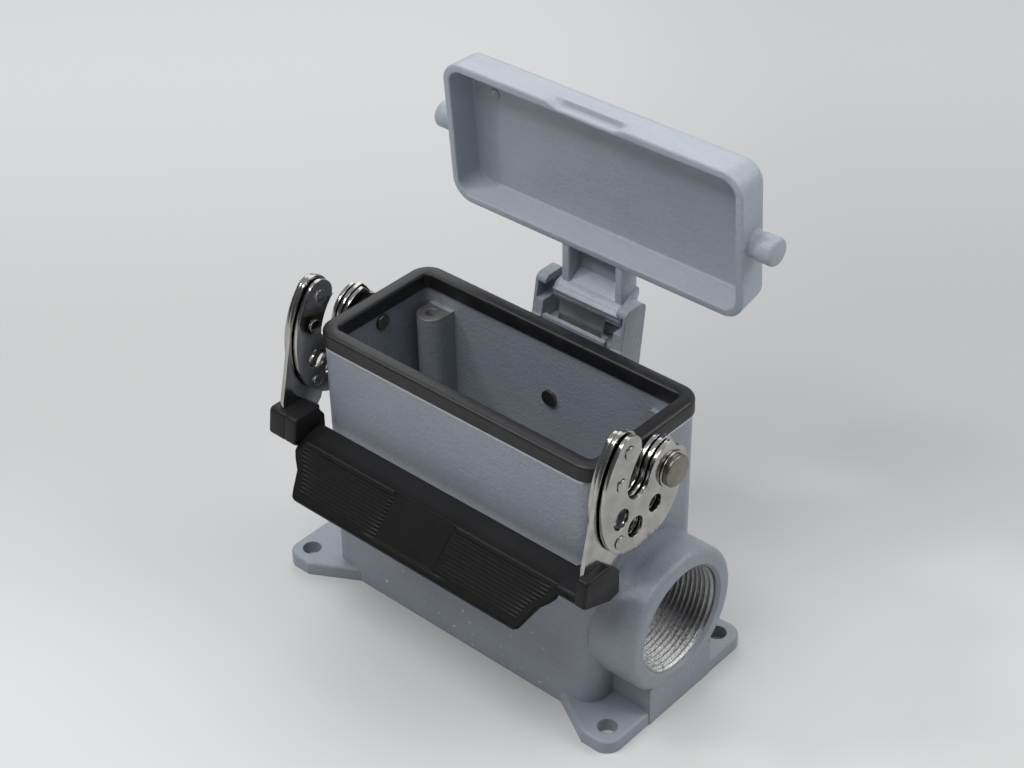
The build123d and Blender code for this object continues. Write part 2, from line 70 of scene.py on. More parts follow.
class Wire:
    """One value inside a finish. Sums, differences and products each add a Math node."""

    def __init__(self, tree, socket):
        self.tree = tree
        self.socket = socket

    def node(self, kind, settings=None, values=None, output=0):
        """Add a node of a kind, set its settings first, then its sockets, and give one output."""
        made = self.tree.nodes.new(kind)
        for name, setting in (settings or {}).items():
            setattr(made, name, setting)
        for name, value in (values or {}).items():
            if isinstance(value, Wire):
                self.tree.links.new(value.socket, made.inputs[name])
            else:
                made.inputs[name].default_value = value
        return Wire(self.tree, made.outputs[output])

    def maths(self, operation, *values):
        """Math node whose sockets take the values in turn."""
        return self.node("ShaderNodeMath", {"operation": operation}, dict(enumerate(values)))

    def __add__(self, other):
        return self.maths("ADD", self, other)

    def __radd__(self, other):
        return self.maths("ADD", other, self)

    def __sub__(self, other):
        return self.maths("SUBTRACT", self, other)

    def __rsub__(self, other):
        return self.maths("SUBTRACT", other, self)

    def __mul__(self, other):
        return self.maths("MULTIPLY", self, other)

    def __rmul__(self, other):
        return self.maths("MULTIPLY", other, self)

    def __abs__(self):
        return self.maths("ABSOLUTE", self)

    def or_more(self, other):
        """The greater of two values."""
        return self.maths("MAXIMUM", self, other)

    def between(self, low, high):
        """0 below low, 1 above high and a smooth step in between."""
        ends = {"Value": self, "From Min": low, "From Max": high}
        return self.node("ShaderNodeMapRange", {"interpolation_type": "SMOOTHSTEP"}, ends)

    def part(self, axis):
        """One coordinate of a place, in metres: 0 along X, 1 along Y and 2 up."""
        return self.node("ShaderNodeSeparateXYZ", {}, {0: self}, output=axis)


def finish(name, **constants):
    """New material whose constants go on the shader's own sockets. Gives the material, its shader
    and a place on the piece."""
    material = bpy.data.materials.new(name)
    material.use_nodes = True
    shader = material.node_tree.nodes["Principled BSDF"]
    for socket, value in constants.items():
        shader.inputs[socket.replace("_", " ")].default_value = value
    start = Wire(material.node_tree, None)
    return material, shader, start.node("ShaderNodeTexCoord", output="Object")


def feed(shader, socket, value):
    """Lead a varying value into one of the shader's sockets."""
    value.tree.links.new(value.socket, shader.inputs[socket])


def noise(place, scale, detail=2.0, roughness=0.5):
    """Cloudy values from 0 to 1, with so many lumps per metre."""
    values = {"Vector": place, "Scale": scale, "Detail": detail, "Roughness": roughness}
    return place.node("ShaderNodeTexNoise", {}, values)


def blended(share, low, high):
    """Colour that goes from low to high as share goes from 0 to 1. A Mix node takes its two
    colours at sockets 6 and 7 and gives the mixed one at output 2."""
    values = {0: share, 6: low, 7: high}
    return share.node("ShaderNodeMix", {"data_type": "RGBA"}, values, output=2)


def raised(height, depth, under=None):
    """Bumps whose full height is depth in metres, on top of the shape given as under."""
    values = {"Strength": 1.0, "Distance": depth, "Height": height}
    if under is not None:
        values["Normal"] = under
    return height.node("ShaderNodeBump", {}, values)


def skin(name, points, wrap_rows=False, wrap_columns=False, caps=(), sharp=40.0):
    """Mesh over a grid of points in millimetres: every four neighbours make a face. Wrapping joins
    the last row or column to the first, and a cap closes the first (0) or last (-1) row. Edges
    that turn by more than sharp degrees stay sharp."""
    rows, columns = points.shape[:2]
    at = np.arange(rows * columns).reshape(rows, columns)
    upper, lower = (at, np.roll(at, -1, 0)) if wrap_rows else (at[:-1], at[1:])
    if wrap_columns:
        corners = (upper, np.roll(upper, -1, 1), np.roll(lower, -1, 1), lower)
    else:
        corners = (upper[:, :-1], upper[:, 1:], lower[:, 1:], lower[:, :-1])
    faces = np.stack(corners, -1).reshape(-1, 4).tolist()
    faces += [at[0, ::-1].tolist() if cap == 0 else at[-1].tolist() for cap in caps]
    mesh = bpy.data.meshes.new(name)
    mesh.from_pydata((points.reshape(-1, 3) / mm_per_metre).tolist(), [], faces)
    work = bmesh.new()
    work.from_mesh(mesh)
    bmesh.ops.remove_doubles(work, verts=work.verts, dist=weld_distance)
    bmesh.ops.recalc_face_normals(work, faces=work.faces)
    work.to_mesh(mesh)
    work.free()
    mesh.polygons.foreach_set("use_smooth", np.ones(len(mesh.polygons), bool))
    mesh.set_sharp_from_angle(angle=radians(sharp))
    piece = bpy.data.objects.new(name, mesh)
    bpy.context.scene.collection.objects.link(piece)
    return piece


def wear(piece, material, body=None):
    """Give a piece its finish as its only material, and the body that it moves with."""
    piece.data.materials.clear()
    piece.data.materials.append(material)
    if body:
        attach(piece, body)


board_half_size = 3200.0
board_points = 9
board_painted_shade = (0.45, 0.45, 0.449, 1)
board_painted_light = (0.655, 0.655, 0.652, 1)
board_cloud_scale = 1.6
board_cloud_band = (0.35, 0.65)
board_cloud_share = 0.06
right_way_x = 0.748
right_way_y = 0.663
right_band = (-0.02, 0.13)
left_share = 0.33
front_band = (-0.10, 0.04)
front_share = 0.66
far_band = (-0.34, -0.12)
far_share = 0.44

board_line = np.linspace(-1, 1, board_points)
across, along = np.meshgrid(board_line, board_line)
board = skin("board", np.stack([across, along, across * 0], -1) * board_half_size)
board_material, shader, place = finish("board_finish", Roughness=0.9, Specular_IOR_Level=0.1)
cloud = noise(place, board_cloud_scale).between(*board_cloud_band)
board_x = place.part(0)
board_y = place.part(1)
to_right = (board_x * right_way_x + board_y * right_way_y).between(*right_band)
to_front = board_x * right_way_y - board_y * right_way_x
# Painted light and shade on the board: lighter in front, far behind and to the left, greyer to the
# right and close behind the housing.
painted_light_share = to_front.between(*front_band) * front_share
painted_light_share = painted_light_share + (1 - to_front.between(*far_band)) * far_share
painted_light_share = painted_light_share + (1 - to_right) * left_share + (cloud - 0.5) * board_cloud_share
feed(shader, "Base Color", blended(painted_light_share, board_painted_shade, board_painted_light))
wear(board, board_material)

for name, lamp_place, size, power, tint in (
    ("lamp_front", (-0.06, -0.56, 1.20), 0.8, 8.3, (1.0, 1.0, 1.0)),
    ("lamp_behind", (-0.85, 0.85, 0.95), 1.1, 4.4, (0.98, 0.99, 1.0)),
    ("lamp_side", (0.85, 0.75, 0.92), 1.0, 7.6, (1.0, 1.0, 1.0)),
    ("lamp_small", (-0.60, -0.58, 0.88), 0.14, 2.2, (1.0, 1.0, 1.0)),
):
    lamp = bpy.data.objects.new(name, bpy.data.lights.new(name, "AREA"))
    lamp.data.shape = "DISK"
    lamp.data.size = size
    lamp.data.energy = power
    lamp.data.color = tint
    lamp.location = lamp_place
    lamp.rotation_mode = "QUATERNION"
    lamp.rotation_quaternion = Vector(lamp_place).to_track_quat("Z", "Y")
    bpy.context.scene.collection.objects.link(lamp)

room_dark = (0.10, 0.105, 0.115, 1)
room_bright = (0.56, 0.57, 0.59, 1)
bright_way = (-0.25, 0.45, 0.86)
bright_band = (0.25, 0.75)

world = bpy.data.worlds.new("room")
world.use_nodes = True
background = world.node_tree.nodes["Background"]
away = Wire(world.node_tree, None).node("ShaderNodeTexCoord")
towards = {0: away, 1: bright_way}
share = away.node("ShaderNodeVectorMath", {"operation": "DOT_PRODUCT"}, towards, output=1)
feed(background, "Color", blended(share.between(*bright_band), room_dark, room_bright))
background.inputs["Strength"].default_value = 1.0
bpy.context.scene.world = world


# Housing: one aluminium pressure die-casting, sprayed with a blue-grey powder paint. The paint has
# a satin orange-peel skin over the faint grain of the casting.
paint_cloud_scale = 45.0
peel_scale = 1350.0
grain_scale = 4200.0
streak_scale = 900.0
streak_stretch = (0.12, 0.7, 1.0)
mottle_band = (0.3, 0.7)
cloud_share = 0.4
streak_share = 0.35
grain_share = 0.25
peel_relief = 0.6
grain_relief = 0.2
streak_relief = 0.2
thin_paint_and_highlight = (0.66, 0.68, 0.72, 1)
thin_paint_and_highlight_share = 0.75
milled_dark = (0.20, 0.20, 0.20, 1)
milled_light = (0.42, 0.41, 0.39, 1)
soft_edge_radius = 0.0006
paint_roughness = 0.25
paint_cloud_roughness = 0.10
paint_grain_roughness = 0.12
milled_roughness = 0.2


def casting_paint(name, dark, light, peel_depth, bare_places=None, chip_and_highlight_places=None):
    """Satin paint: cloudy colour with faint level streaks and orange peel about 0.7 mm across over
    finer grain. Where bare_places is 1, dull milled metal shows, and a pale colour at
    chip_and_highlight_places: thin paint on chips and a painted highlight along an edge."""
    material, shader, place = finish(name, Specular_IOR_Level=0.5)
    cloud = noise(place, paint_cloud_scale, 4.0)
    peel = noise(place, peel_scale, 1.0)
    grain = noise(place, grain_scale, 3.0, 0.6)
    drawn = place.node("ShaderNodeMapping", {}, {"Vector": place, "Scale": streak_stretch})
    streak = noise(drawn, streak_scale, 3.0, 0.6)
    mottle = cloud.between(*mottle_band) * cloud_share
    mottle = mottle + streak.between(*mottle_band) * streak_share
    mottle = mottle + grain.between(*mottle_band) * grain_share
    tone = blended(mottle, dark, light)
    roughness = paint_roughness + cloud * paint_cloud_roughness + grain * paint_grain_roughness
    if chip_and_highlight_places is not None:
        # Pale colour where the paint is thin on chips, and as a painted highlight line under the
        # gasket.
        tone = blended(chip_and_highlight_places(place) * thin_paint_and_highlight_share, tone, thin_paint_and_highlight)
    if bare_places is not None:
        bare = bare_places(place)
        tone = blended(bare, tone, blended(grain, milled_dark, milled_light))
        feed(shader, "Metallic", bare)
        roughness = roughness + bare * milled_roughness
    feed(shader, "Base Color", tone)
    feed(shader, "Roughness", roughness)
    rounded = place.node("ShaderNodeBevel", {"samples": 4}, {"Radius": soft_edge_radius})
    relief = peel * peel_relief + grain * grain_relief + streak * streak_relief
    feed(shader, "Normal", raised(relief, peel_depth, rounded))
    return material


# Where a bare or pale place begins and ends, in metres from the middle or from the foot plate's
# underside. Each pair is one soft edge.
pillar_top_low = (0.0724, 0.0725)
pillar_top_high = (0.0732, 0.0733)
pillar_inner_side = (0.0344, 0.0345)
mouth_end = (0.0431, 0.0432)
mouth_side = (0.0167, 0.0168)
wall_end = (0.0470, 0.0471)
wall_side = (0.0208, 0.0209)
# Height of the painted highlight: a pale line just under the gasket stands in for the light on the
# wall's rounded top edge.
painted_highlight_low = (0.0762, 0.0764)
painted_highlight_high = (0.0774, 0.0775)
front_wall = (-0.0205, -0.0200)
chips_top = (0.024, 0.030)
chips_end = (0.030, 0.036)
chip_scale = 620.0
chip_band = (0.725, 0.745)


def milled_pillars(place):
    """1 on the tops of the four screw pillars inside the mouth, from their height and their place
    along and across the housing."""
    ends = abs(place.part(0))
    sides = abs(place.part(1))
    height = place.part(2)
    level = height.between(*pillar_top_low) * (1 - height.between(*pillar_top_high))
    inside = (1 - ends.between(*mouth_end)) * (1 - sides.between(*mouth_side))
    return level * inside * ends.between(*pillar_inner_side)


def chips_and_painted_highlight(place):
    """1 on a painted highlight line along the wall's outer edge just under the gasket, and on a few
    chips of worn paint low on the front wall, which are the peaks of a noise."""
    ends = abs(place.part(0))
    across = place.part(1)
    height = place.part(2)
    outside = abs(across).between(*wall_side).or_more(ends.between(*wall_end))
    # Painted highlight: a pale line round the outer wall just under the gasket.
    edge = height.between(*painted_highlight_low) * (1 - height.between(*painted_highlight_high)) * outside
    low_front = (1 - across.between(*front_wall)) * (1 - height.between(*chips_top))
    chip = noise(place, chip_scale, 1.0, 0.5).between(*chip_band)
    return edge.or_more(chip * low_front * (1 - ends.between(*chips_end)))


housing_dark = (0.240, 0.258, 0.302, 1)
housing_light = (0.288, 0.308, 0.354, 1)
fine_peel_depth = 0.00024
housing_paint = casting_paint(
    "housing_paint", housing_dark, housing_light, fine_peel_depth, milled_pillars, chips_and_painted_highlight
)
wear(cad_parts["housing"], housing_paint)


# Entry thread: fine thread of 1.5 mm pitch tapped into the casting after painting, so its flanks
# are bare. Its lowest side carries bright specks, a painted highlight where the bore catches the
# light.
thread_pitch = 1.5
thread_depth = 0.75
thread_start = 44.4
thread_end = 59.0
thread_lead_in = 0.8
thread_lead_out = 1.6
thread_outer_radius = 15.17
crest_height = 1.15
crest_slope = 1.3
thread_rows = 330
thread_columns = 96
entry_height = 27.5
glint_top_height = (0.0135, 0.0195)
glint_band = (0.35, 0.6)
painted_glint_metal = (0.88, 0.88, 0.87, 1)
cut_dark = (0.16, 0.165, 0.165, 1)
cut_light = (0.46, 0.46, 0.45, 1)
burr_depth = 0.00012
cut_streak_scale = 700.0
cut_speck_scale = 2400.0
cut_roughness = 0.24
cut_streak_roughness = 0.2
glint_roughness = 0.35


def tapped_thread():
    """Radius falls from the outer radius by a clipped triangle wave of the pitch, whose phase turns
    once around the axis, and fades out at both ends."""
    along = np.linspace(thread_start, thread_end, thread_rows)[:, None]
    angle = np.linspace(0, 2 * np.pi, thread_columns, endpoint=False)[None, :]
    phase = (along / thread_pitch + angle / (2 * np.pi)) % 1.0
    crest = np.clip(crest_height - np.abs(2 * phase - 1) * crest_slope, 0, 1)
    fade_out = np.clip((thread_end - along) / thread_lead_out, 0, 1)
    fade_in = np.clip((along - thread_start) / thread_lead_in, 0, 1)
    radius = thread_outer_radius - thread_depth * crest * (fade_out * fade_in)
    x = along + 0 * angle
    return np.stack([x, radius * np.cos(angle), entry_height + radius * np.sin(angle)], -1)


bare_metal, shader, place = finish("tapped_metal", Metallic=1.0)
streak = noise(place, cut_streak_scale, 3.0)
speck = noise(place, cut_speck_scale, 2.0)
# Painted highlight: bright specks on the lowest side of the bore stand in for the light it catches.
painted_glint = (1 - place.part(2).between(*glint_top_height)) * speck.between(*glint_band)
feed(shader, "Base Color", blended(painted_glint, blended(streak, cut_dark, cut_light), painted_glint_metal))
roughness = cut_roughness + streak * cut_streak_roughness + painted_glint * glint_roughness
feed(shader, "Roughness", roughness)
feed(shader, "Normal", raised(speck, burr_depth))
thread = skin("entry_thread", tapped_thread(), wrap_columns=True, sharp=60.0)
thread.data.flip_normals()  # the bore is seen from inside, so its faces point at the axis
wear(thread, bare_metal, "body")


# Gasket: black moulded rubber ring that grips the rim of the wall, with a softly crowned top and
# rounded lips inside and outside.
rim_half_length = 48.05
rim_half_width = 21.75
rim_corner = 6.05
longest_cut_share = 0.49
tiny = 1e-9


def ring(inward, corner_points=14, side_points=24, half_length=rim_half_length,
         half_width=rim_half_width, corner=rim_corner, least=0.6):
    """Rounded rectangle drawn for every distance inward from its outer line: four quarter circles,
    none of a smaller radius than least, joined by straight sides with points along them."""
    inward = np.asarray(inward, float)[:, None]
    turn = np.linspace(0, np.pi / 2, corner_points)
    radius = np.maximum(corner - inward, least)
    reach_x = half_length - inward - radius
    reach_y = half_width - inward - radius
    arcs = []
    for quarter, (sign_x, sign_y) in enumerate(((1, 1), (-1, 1), (-1, -1), (1, -1))):
        angle = turn + quarter * np.pi / 2
        x = sign_x * reach_x + radius * np.cos(angle)
        y = sign_y * reach_y + radius * np.sin(angle)
        arcs.append(np.stack([x, y], -1))
    share = np.linspace(0, 1, side_points + 2)[1:-1][None, :, None]
    loop = []
    for arc, following in zip(arcs, arcs[1:] + arcs[:1]):
        start = arc[:, -1:, :]
        stop = following[:, :1, :]
        loop += [arc, start + (stop - start) * share]
    return np.concatenate(loop, 1)


def softened(corners, radii, steps=6):
    """Polygon whose corners are arcs. Each corner is cut back along both its sides, by less than
    half of the shorter one. The arc's points are its centre plus the radii to both cuts, each
    weighted by the sine of the angle to the other one."""
    corners = np.asarray(corners, float)
    radii = np.broadcast_to(np.asarray(radii, float), (len(corners),))[:, None]
    before = np.roll(corners, 1, 0) - corners
    after = np.roll(corners, -1, 0) - corners
    length_before = np.linalg.norm(before, axis=1, keepdims=True)
    length_after = np.linalg.norm(after, axis=1, keepdims=True)
    unit_before = before / length_before
    unit_after = after / length_after
    half = np.arccos(np.clip((unit_before * unit_after).sum(1, keepdims=True), -1, 1)) / 2
    longest_cut = longest_cut_share * np.minimum(length_before, length_after)
    cut = np.minimum(radii / np.tan(half), longest_cut)
    radius = cut * np.tan(half)
    middle = unit_before + unit_after
    middle = middle / np.maximum(np.linalg.norm(middle, axis=1, keepdims=True), tiny)
    centre = corners + middle * radius / np.sin(half)
    start = corners + unit_before * cut - centre
    stop = corners + unit_after * cut - centre
    share = np.linspace(0, 1, steps)[None, :, None]
    sweep = (np.pi - 2 * half)[:, None]
    full = np.maximum(np.sin(sweep), tiny)
    weight_start = np.sin((1 - share) * sweep) / full
    weight_stop = np.sin(share * sweep) / full
    arcs = centre[:, None] + weight_start * start[:, None] + weight_stop * stop[:, None]
    return arcs.reshape(-1, 2)


gasket_corners = [(0, 77.3), (0.1, 81.75), (2.3, 82.0), (4.45, 81.7), (4.5, 77.3)]
gasket_radii = [0.3, 1.1, 8.0, 0.9, 0.3]
rubber_black = (0.008, 0.008, 0.0085, 1)
rubber_dusty = (0.018, 0.018, 0.019, 1)
dust_band = (0.45, 0.75)
dust_scale = 160.0
rubber_grain_scale = 2600.0
rubber_grain_depth = 0.00005
rubber_roughness = 0.30
dust_roughness = 0.16
rubber_grain_roughness = 0.1

gasket_profile = softened(gasket_corners, gasket_radii)
around = ring(gasket_profile[:, 0])
height = np.broadcast_to(gasket_profile[:, 1][:, None, None], around.shape[:2] + (1,))
gasket_points = np.concatenate([around, height], -1)
gasket = skin("gasket_ring", gasket_points, wrap_rows=True, wrap_columns=True)
rubber, shader, place = finish("black_rubber", Specular_IOR_Level=0.45)
dust = noise(place, dust_scale, 4.0, 0.65)
fine = noise(place, rubber_grain_scale, 3.0, 0.6)
feed(shader, "Base Color", blended(dust.between(*dust_band), rubber_black, rubber_dusty))
roughness = rubber_roughness + dust * dust_roughness + fine * rubber_grain_roughness
feed(shader, "Roughness", roughness)
feed(shader, "Normal", raised(dust * 0.5 + fine * 0.5, rubber_grain_depth))
wear(gasket, rubber, "body")
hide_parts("gasket")


# Hinge bracket: zinc die-casting in the same paint, riveted to the back wall. Its two cheeks hold
# the steel hinge pin, and a bent spring leaf stands between them in front of a thin web.
rolling_scale = 3200.0
rolling_stretch = (1.0, 0.08, 1.0)
rolling_depth = 0.000015
rolling_roughness = 0.05
stain_scale = 150.0
stain_band = (0.25, 0.75)
stain_roughness = 0.08
dull_dark = (0.15, 0.145, 0.125, 1)
dull_light = (0.25, 0.24, 0.21, 1)
dull_roughness = 0.28
leaf_dark = (0.48, 0.47, 0.45, 1)
leaf_light = (0.70, 0.69, 0.67, 1)
leaf_roughness = 0.30
bracket_dark = (0.225, 0.243, 0.282, 1)
bracket_light = (0.300, 0.320, 0.362, 1)
bracket_peel_depth = 0.00036
bracket_back_corners = [(35.2, 70.8), (36.6, 70.8), (37.0, 77.4), (35.6, 77.4)]
bracket_back_radius = 0.3
bracket_back_half_length = 12.3
bracket_back_edge = 0.1
slab_arc_points = 4


def rolled_steel(name, dark, light, roughness):
    """Steel with fine lines drawn out by rolling along one direction and faint cloudy stains."""
    material, shader, place = finish(name, Metallic=1.0)
    drawn = place.node("ShaderNodeMapping", {}, {"Vector": place, "Scale": rolling_stretch})
    lines = noise(drawn, rolling_scale, 3.0, 0.6)
    stain = noise(place, stain_scale, 3.0, 0.6)
    feed(shader, "Base Color", blended(stain.between(*stain_band), dark, light))
    roughness = roughness + stain * stain_roughness + lines * rolling_roughness
    feed(shader, "Roughness", roughness)
    feed(shader, "Normal", raised(lines * 0.5 + stain * 0.5, rolling_depth))
    return material


def outward_of(outline):
    """Unit normals of a closed outline: at each point the way from the point before to the one
    after, turned a quarter to the side that the sign of the outline's area gives as outside."""
    along = np.roll(outline, -1, 0) - np.roll(outline, 1, 0)
    along /= np.maximum(np.linalg.norm(along, axis=1, keepdims=True), tiny)
    following = np.roll(outline, -1, 0)
    area = (outline[:, 0] * following[:, 1] - following[:, 0] * outline[:, 1]).sum()
    return np.stack([along[:, 1], -along[:, 0]], -1) * np.sign(area)


def slab(outline, start, end, edge, steps=4):
    """Flat piece along X: its outline is carried from one face to the other, and drawn in along its
    own normals by a quarter circle at both faces."""
    turn = np.linspace(0, np.pi / 2, steps)
    drop = edge * (1 - np.sin(turn))
    draw = edge * (1 - np.cos(turn))
    inset = np.concatenate([drop, draw])
    x = np.concatenate([start + draw, end - drop])
    points = outline[None] - outward_of(outline)[None] * inset[:, None, None]
    return np.concatenate([np.broadcast_to(x[:, None, None], points.shape[:2] + (1,)), points], -1)


dull_steel = rolled_steel("dull_steel", dull_dark, dull_light, dull_roughness)
leaf_steel = rolled_steel("leaf_steel", leaf_dark, leaf_light, leaf_roughness)
bracket_paint = casting_paint("bracket_paint", bracket_dark, bracket_light, bracket_peel_depth)
wear(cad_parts["hinge_bracket"], bracket_paint)
wear(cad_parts["bracket_rivet"], dull_steel)
wear(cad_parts["hinge_pin"], dull_steel)
wear(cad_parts["hinge_leaf"], leaf_steel)

back_outline = softened(bracket_back_corners, bracket_back_radius, slab_arc_points)
back_points = slab(
    back_outline, -bracket_back_half_length, bracket_back_half_length, bracket_back_edge
)
bracket_back = skin("bracket_back", back_points, wrap_columns=True, caps=(0, -1))
wear(bracket_back, bracket_paint, "body")


# Cover: shallow die-cast tray in the same paint, with the mark of an ejector pin on its floor. Its
# colour is painted lighter than the housing's, as painted light. It hangs on two legs and a barrel
# from the hinge pin and stands open. Side pegs at its ends take the locking lever when it is shut.
hinge_place = (35.8, 82.0)
cover_open_angle = -85.5
cover_half_length = 49.0
cover_half_width = 21.6
cover_corner = 6.5
cover_least_corner = 1.2
cover_depth = 10.8
cover_floor_thickness = 2.4
cover_rim_width = 2.3
cover_back_reach = 6.5
cover_floor_reach = 8.5
cover_slope = np.tan(radians(5.0))
cover_radii = [0.0, 2.2, 0.55, 0.45, 0.7, 0.0]
cover_arc_points = 8
cover_wall_points = 12
cover_corner_points = 16
cover_side_points = 45
notch_half_length = 10.8
notch_side = -15
notch_height = 3.1
notch_depth = 1.2
notch_end_slope = 0.5
notch_top_slope = 0.4


def opened(points):
    """Points of the closed cover turned about the hinge pin into the open position."""
    angle = radians(cover_open_angle)
    y = points[..., 1] - hinge_place[0]
    z = points[..., 2] - hinge_place[1]
    turned_y = hinge_place[0] + y * np.cos(angle) - z * np.sin(angle)
    turned_z = hinge_place[1] + y * np.sin(angle) + z * np.cos(angle)
    return np.stack([points[..., 0], turned_y, turned_z], -1)


def tray():
    """Profile of the wall, from the outer face round the rim to the floor inside, carried round a
    rounded rectangle. The wall leans in by the draft angle, and in the middle of one long side the
    rim's outer face steps in up to the notch's height."""
    top = cover_depth
    floor = cover_depth - cover_floor_thickness
    inner_foot = cover_rim_width + floor * cover_slope
    corners = [(cover_back_reach, top), (top * cover_slope, top), (0, 0), (cover_rim_width, 0),
               (inner_foot, floor), (cover_floor_reach, floor)]
    section = softened(corners, cover_radii, cover_arc_points)
    section = section[cover_arc_points - 1:1 - cover_arc_points]
    wall_start = cover_arc_points
    wall = np.linspace(section[wall_start], section[wall_start + 1], cover_wall_points + 2)[1:-1]
    section = np.concatenate([section[:wall_start + 1], wall, section[wall_start + 1:]])
    line = ring(section[:, 0], cover_corner_points, cover_side_points, cover_half_length,
                cover_half_width, cover_corner, cover_least_corner)
    rise = np.broadcast_to(section[:, 1][:, None], line.shape[:2])
    past_notch = (np.abs(line[..., 0]) - notch_half_length) / notch_end_slope
    notch = (1 - np.clip(past_notch, 0, 1)) * (line[..., 1] < notch_side)
    low = 1 - np.clip((rise - notch_height) / notch_top_slope, 0, 1)
    last_outside = 2 * cover_arc_points + cover_wall_points
    outside = np.arange(len(section))[:, None] <= last_outside
    y = line[..., 1] + notch_depth * notch * low * outside
    return opened(np.stack([line[..., 0], y, hinge_place[1] + rise], -1))


# Painted light: the cover's paint is given a lighter colour than the housing's, for the light it
# catches.
lit_cover_dark = (0.335, 0.368, 0.420, 1)
lit_cover_light = (0.395, 0.430, 0.486, 1)
cover_paint = casting_paint("cover_paint", lit_cover_dark, lit_cover_light, fine_peel_depth)
cover = skin("cover_tray", tray(), wrap_columns=True, caps=(0, -1), sharp=50.0)
wear(cover, cover_paint, "cover")
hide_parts("cover")


def turned(profile, centre_y, centre_z, points=48):
    """Piece of revolution about a line along X: each (x, radius) of the profile becomes a circle
    about the line."""
    profile = np.asarray(profile, float)
    angle = np.linspace(0, 2 * np.pi, points, endpoint=False)[None, :]
    x = profile[:, :1] + 0 * angle
    y = centre_y + profile[:, 1:] * np.cos(angle)
    z = centre_z + profile[:, 1:] * np.sin(angle)
    return np.stack([x, y, z], -1)


def pin_mark(profile, place, points=40):
    """Flat ring on the cover's floor: each (radius, height) of the profile becomes a circle about
    the pin's place."""
    profile = np.asarray(profile, float)
    angle = np.linspace(0, 2 * np.pi, points, endpoint=False)[None, :]
    x = place[0] + profile[:, :1] * np.cos(angle)
    y = place[1] + profile[:, :1] * np.sin(angle)
    z = place[2] - profile[:, 1:] + 0 * angle
    return np.stack([x, y, z], -1)


def cover_piece(name, points, caps=()):
    """Close a grid round its columns into a piece of the cover, in the cover's paint."""
    wear(skin(name, points, wrap_columns=True, caps=caps), cover_paint, "cover")


cover_peg_height = 87.5
peg_profile = [(46.9, 0), (46.9, 4.4), (47.9, 4.3), (48.9, 3.6), (50.4, 3.45), (51.0, 3.8),
               (55.0, 3.82), (55.55, 3.55), (55.8, 3.1), (55.8, 0)]
for side, name in ((1, "cover_peg_right"), (-1, "cover_peg_left")):
    points = opened(turned(peg_profile, 0.0, cover_peg_height))
    points[..., 0] *= side
    cover_piece(name, points)

leg_corners = [(34.9, 97.9), (41.2, 97.9), (41.2, 86.6), (39.4, 82.0), (35.8, 79.6), (34.9, 83.2)]
leg_radius = 0.6
leg_inner_face = 7.8
leg_outer_face = 10.4
leg_edge = 0.5
for side, name in ((1, "cover_leg_right"), (-1, "cover_leg_left")):
    leg_outline = softened(leg_corners, leg_radius, slab_arc_points)
    points = slab(leg_outline, leg_inner_face, leg_outer_face, leg_edge)
    points[..., 0] *= side
    cover_piece(name, points, caps=(0, -1))

shelf_corners = [(32.05, 83.2), (41.1, 88.5), (41.1, 86.5), (39.3, 82.1), (35.8, 80.0),
                 (32.6, 82.0)]
web_corners = [(39.7, 97.9), (41.0, 97.9), (41.0, 86.6), (39.7, 86.6)]
for name, corners, radius, half_length, edge in (
    ("cover_shelf", shelf_corners, 0.2, 11.3, 0.15),
    ("cover_web", web_corners, 0.2, 8.2, 0.1),
):
    outline = softened(corners, radius, slab_arc_points)
    cover_piece(name, slab(outline, -half_length, half_length, edge), caps=(0, -1))

pin_mark_place = (-38.2, -10.4, 90.4)
pin_mark_profile = [(0, -0.3), (1.7, -0.3), (1.7, 0.18), (1.5, 0.34), (1.2, 0.16), (0, 0.16)]
cover_piece("ejector_pin_mark", opened(pin_mark(pin_mark_profile, pin_mark_place)))

barrel_profile = [(-11.7, 0), (-11.7, 2.8), (-11.3, 3.2), (11.3, 3.2), (11.7, 2.8), (11.7, 0)]
cover_piece("cover_barrel", turned(barrel_profile, *hinge_place))


# Pivot pegs: turned steel pins riveted through the end walls, each with a washer under its head.
# They carry the locking lever.
solid_weld_distance = 1e-6
flat_angle = 1.0
sharp_angle = 38.0
edge_steps = 3
peg_edge = 0.25
washer_edge = 0.15
bright_dark = (0.33, 0.324, 0.306, 1)
bright_light = (0.48, 0.47, 0.446, 1)
bright_roughness = 0.09


def eased(node, name, width, material, body):
    """Copy of a solid's surface whose doubled points are merged and flat faces joined. A bevel then
    rounds every sharp edge by the width, and the large flat faces are cut into triangles again. A
    piece on the left is the mirror image of the one on the right."""
    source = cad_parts[node.replace("_left", "_right")]
    mesh = source.data.copy()
    work = bmesh.new()
    work.from_mesh(mesh)
    bmesh.ops.remove_doubles(work, verts=work.verts, dist=solid_weld_distance)
    bmesh.ops.dissolve_limit(
        work, angle_limit=radians(flat_angle), verts=work.verts, edges=work.edges
    )
    if node.endswith("_left"):
        bmesh.ops.scale(work, vec=(-1, 1, 1), verts=work.verts)
        bmesh.ops.recalc_face_normals(work, faces=work.faces)
    work.to_mesh(mesh)
    work.free()
    mesh.polygons.foreach_set("use_smooth", np.ones(len(mesh.polygons), bool))
    piece = bpy.data.objects.new(name, mesh)
    bpy.context.scene.collection.objects.link(piece)
    bevel = piece.modifiers.new("rounded_edges", "BEVEL")
    bevel.width = width / mm_per_metre
    bevel.segments = edge_steps
    bevel.limit_method = "ANGLE"
    bevel.angle_limit = radians(sharp_angle)
    bevel.harden_normals = True
    piece.modifiers.new("triangles", "TRIANGULATE").keep_custom_normals = True
    wear(piece, material, body)
    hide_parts(node)


